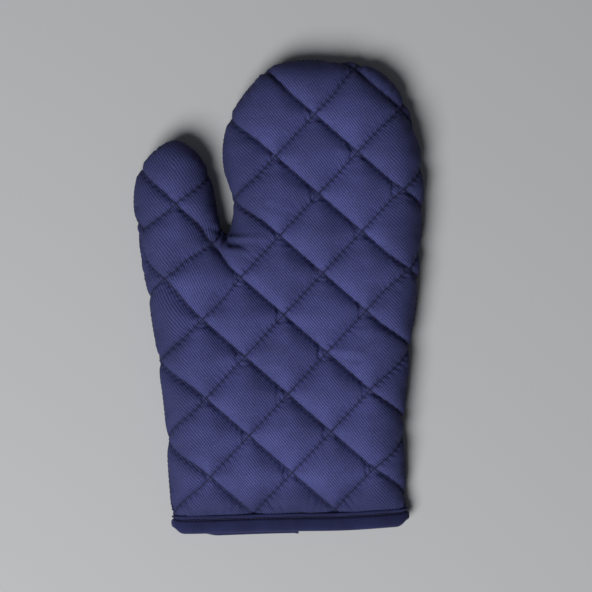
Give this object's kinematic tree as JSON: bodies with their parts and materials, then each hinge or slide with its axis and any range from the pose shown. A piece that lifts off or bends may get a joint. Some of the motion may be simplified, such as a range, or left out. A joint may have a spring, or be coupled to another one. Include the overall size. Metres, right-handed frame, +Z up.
{
  "type": "quilted oven mitt",
  "caption": "Single quilted oven mitt with a thumb, lying flat: padded twill halves, lining, bound cuff, open at the wrist.",
  "frame": {"origin": "under the middle of the mitt's box, on the surface that it lies on", "axes": "+X across the hand away from the thumb, +Y from the cuff to the fingertips, +Z up through the thickness"},
  "size_m": [0.1836, 0.3008, 0.0264],
  "materials": {
    "twill": "navy cotton twill, faint sheen",
    "wadding": "undyed needled cotton and polyester batting",
    "lining": "navy plain-weave cotton",
    "tape": "dark navy plain-weave cotton tape, matt",
    "thread": "navy polyester-cotton sewing thread"
  },
  "bodies": {
    "root": {"top_shell": "twill", "top_wadding": "wadding", "top_lining": "lining", "top_quilting": "thread", "bottom_shell": "twill", "bottom_wadding": "wadding", "bottom_lining": "lining", "bottom_quilting": "thread", "closing_seam": "thread", "cuff_binding": "tape", "binding_stitch": "thread"}
  },
  "joints": []
}
